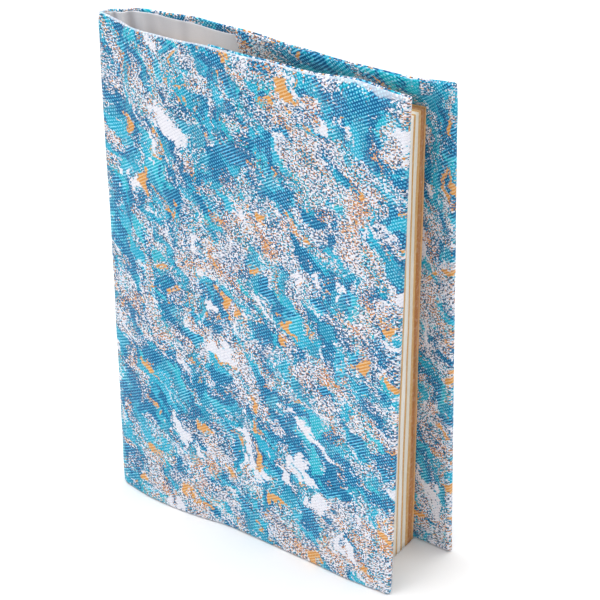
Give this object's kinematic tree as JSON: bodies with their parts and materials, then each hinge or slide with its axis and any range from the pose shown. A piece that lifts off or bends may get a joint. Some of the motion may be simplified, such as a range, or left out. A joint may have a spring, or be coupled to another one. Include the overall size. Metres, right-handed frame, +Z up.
{
  "type": "cloth book cover",
  "caption": "Brocade cloth cover with turned-in sleeves and plain lining, standing on its tail edge round the pages of a slim paperback.",
  "frame": {"origin": "middle of the footprint, on the surface that the cover stands on", "axes": "+Z up along the spine, +X from spine to fore-edge, front panel faces -Y"},
  "size_m": [0.1232, 0.0362, 0.186],
  "materials": {
    "brocade": "satin weave",
    "lining": "matte plain weave",
    "paper": "matte"
  },
  "bodies": {
    "book": {"spine": "brocade", "spine_lining": "lining", "page_block": "paper"},
    "front_board": {"front_cover": "brocade", "front_lining": "lining"},
    "back_board": {"back_cover": "brocade", "back_lining": "lining"}
  },
  "joints": [
    {"name": "front_fold", "type": "hinge", "parent": "book", "child": "front_board", "pos_m": [-0.058, -0.01595, 0.093], "axis": [0, 0, 1], "range_deg": [-150, 0]},
    {"name": "back_fold", "type": "hinge", "parent": "book", "child": "back_board", "pos_m": [-0.0463, 0.00845, 0.093], "axis": [0, 0, 1], "range_deg": [0, 150]}
  ]
}
